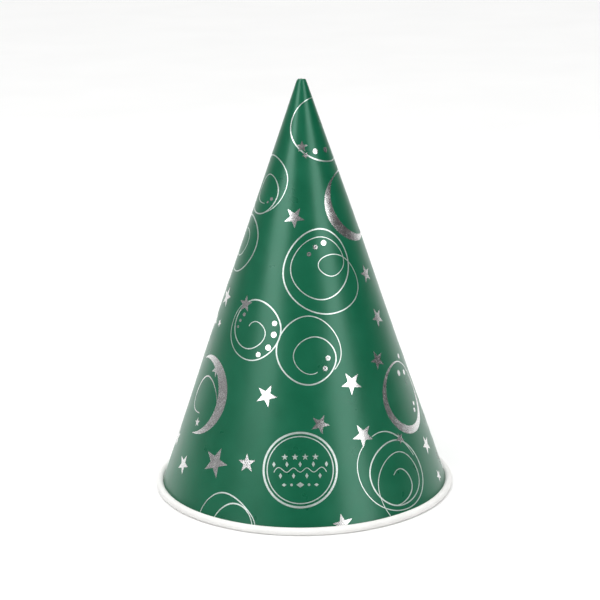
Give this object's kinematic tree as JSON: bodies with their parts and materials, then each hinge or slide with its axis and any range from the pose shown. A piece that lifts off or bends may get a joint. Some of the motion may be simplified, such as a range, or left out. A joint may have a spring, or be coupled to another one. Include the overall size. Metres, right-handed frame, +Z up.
{
  "type": "party hat",
  "caption": "Small conical card party hat with a green printed cover, silver foil swirls and stars, a glued back lap and a white curled rim.",
  "frame": {"origin": "on the floor under the tip: the centre of the curled rim's resting face", "axes": "+Z up to the tip; -Y is the hat's front, with the badge; the glued lap is at the back, +Y; +X is the hat's right as seen by someone looking at its front"},
  "size_m": [0.106, 0.106, 0.1448],
  "materials": {
    "card": "matt, clay-coated",
    "print": "satin laminated print",
    "foil": "satin hot-stamped foil",
    "glue": "dried adhesive"
  },
  "bodies": {
    "root": {"foil_badge_inner_ring": "foil", "foil_badge_outer_ring": "foil", "foil_badge_stars": "foil", "foil_badge_vine": "foil", "foil_crescent_back_left_right": "foil", "foil_crescent_back_left_upper_right": "foil", "foil_crescent_back_right_left": "foil", "foil_crescent_left": "foil", "foil_crescent_right": "foil", "foil_crescent_upper_right": "foil", "foil_dots_back_left": "foil", "foil_dots_back_right": "foil", "foil_dots_centre": "foil", "foil_dots_middle": "foil", "foil_dots_middle_left": "foil", "foil_dots_right": "foil", "foil_dots_tip": "foil", "foil_dots_upper_left": "foil", "foil_small_stars": "foil", "foil_star_01": "foil", "foil_star_02": "foil", "foil_star_03": "foil", "foil_star_04": "foil", "foil_star_05": "foil", "foil_star_06": "foil", "foil_star_07": "foil", "foil_star_08": "foil", "foil_star_09": "foil", "foil_star_10": "foil", "foil_star_11": "foil", "foil_star_12": "foil", "foil_star_13": "foil", "foil_star_14": "foil", "foil_star_15": "foil", "foil_star_16": "foil", "foil_stars_back_left": "foil", "foil_stars_back_right": "foil", "foil_swirl_back_left_centre": "foil", "foil_swirl_back_left_middle": "foil", "foil_swirl_back_left_middle_left": "foil", "foil_swirl_back_left_rim_left": "foil", "foil_swirl_back_left_upper_left": "foil", "foil_swirl_back_right_centre": "foil", "foil_swirl_back_right_lower_right": "foil", "foil_swirl_back_right_middle": "foil", "foil_swirl_back_right_middle_left": "foil", "foil_swirl_back_right_rim_left": "foil", "foil_swirl_centre": "foil", "foil_swirl_left_edge": "foil", "foil_swirl_lower_right": "foil", "foil_swirl_middle": "foil", "foil_swirl_middle_left": "foil", "foil_swirl_rim_left": "foil", "foil_swirl_tip": "foil", "foil_swirl_upper_left": "foil", "hat_board": "card", "lap_glue": "glue", "printed_film": "print"}
  },
  "joints": []
}
